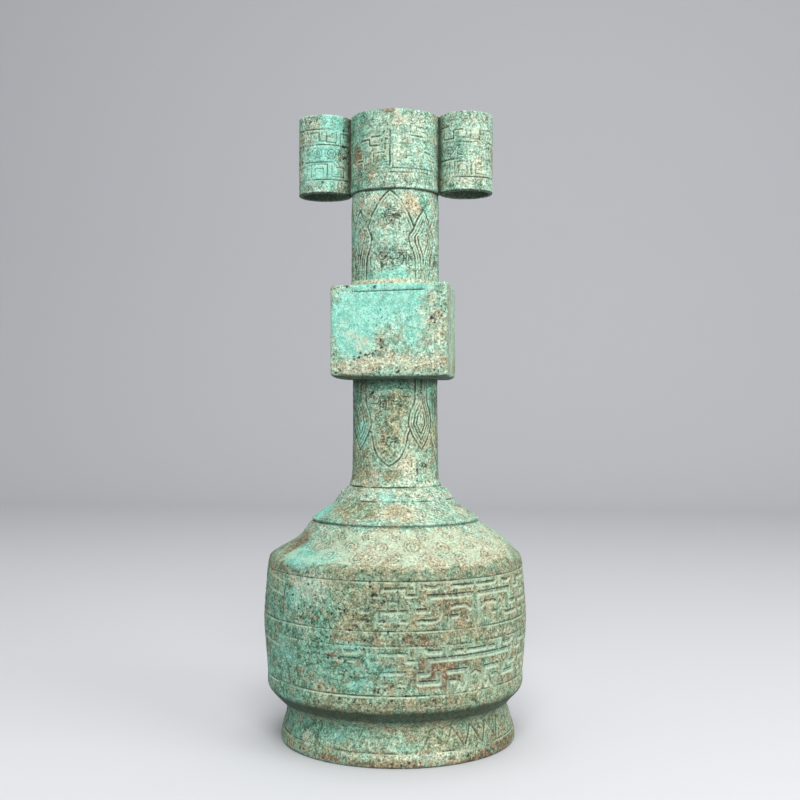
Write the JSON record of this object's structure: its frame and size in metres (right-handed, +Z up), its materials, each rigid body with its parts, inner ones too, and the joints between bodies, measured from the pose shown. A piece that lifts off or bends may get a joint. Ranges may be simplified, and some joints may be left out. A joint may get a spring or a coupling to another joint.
{
  "type": "arrow vase",
  "caption": "Patinated bronze arrow vase: round fretted body, long neck through a square block, and a mouth collar with an ear tube on each side.",
  "frame": {"origin": "centre of the foot's underside, on the surface that the vase stands on", "axes": "+Z up along the vase's axis, -Y out of the front face of the block, X through both ear tubes"},
  "size_m": [0.1268, 0.1268, 0.3],
  "materials": {
    "patinated_bronze": "matt turquoise and olive patina over cast bronze"
  },
  "bodies": {
    "root": {"vase_casting": "patinated_bronze"}
  },
  "joints": []
}
